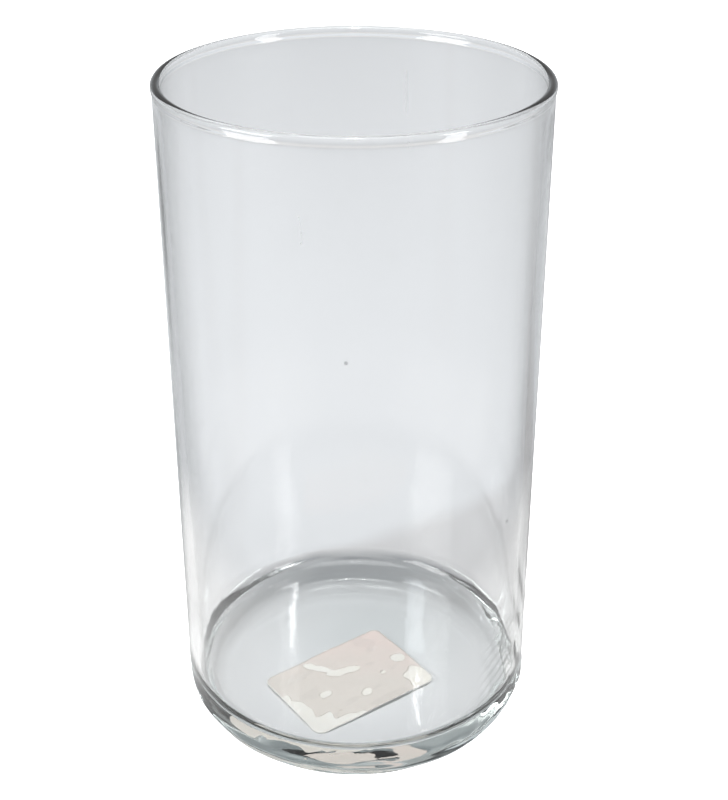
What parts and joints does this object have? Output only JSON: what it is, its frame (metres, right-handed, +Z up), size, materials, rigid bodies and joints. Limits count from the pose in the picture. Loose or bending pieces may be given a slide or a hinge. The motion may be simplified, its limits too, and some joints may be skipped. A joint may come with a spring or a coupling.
{
  "type": "glass cylinder vase",
  "caption": "Clear glass cylinder vase with straight walls, a rounded lip, a thick base with rounded heel, and a plain paper label stuck under the base.",
  "frame": {"origin": "middle of the base, on the plane that the vase stands on", "axes": "+Z up along the vase's own axis, towards the mouth; the label's long side is turned 36 degrees from +X"},
  "size_m": [0.1022, 0.1022, 0.1905],
  "materials": {
    "clear_glass": "clear, fire-polished, with a faint grey-green tint in the thick base",
    "label_gum": "dried pressure-sensitive gum, warm beige",
    "label_paper": "matt uncoated paper, slightly yellowed"
  },
  "bodies": {
    "root": {"glass_vase": "clear_glass", "label_adhesive": "label_gum", "base_label": "label_paper"}
  },
  "joints": []
}
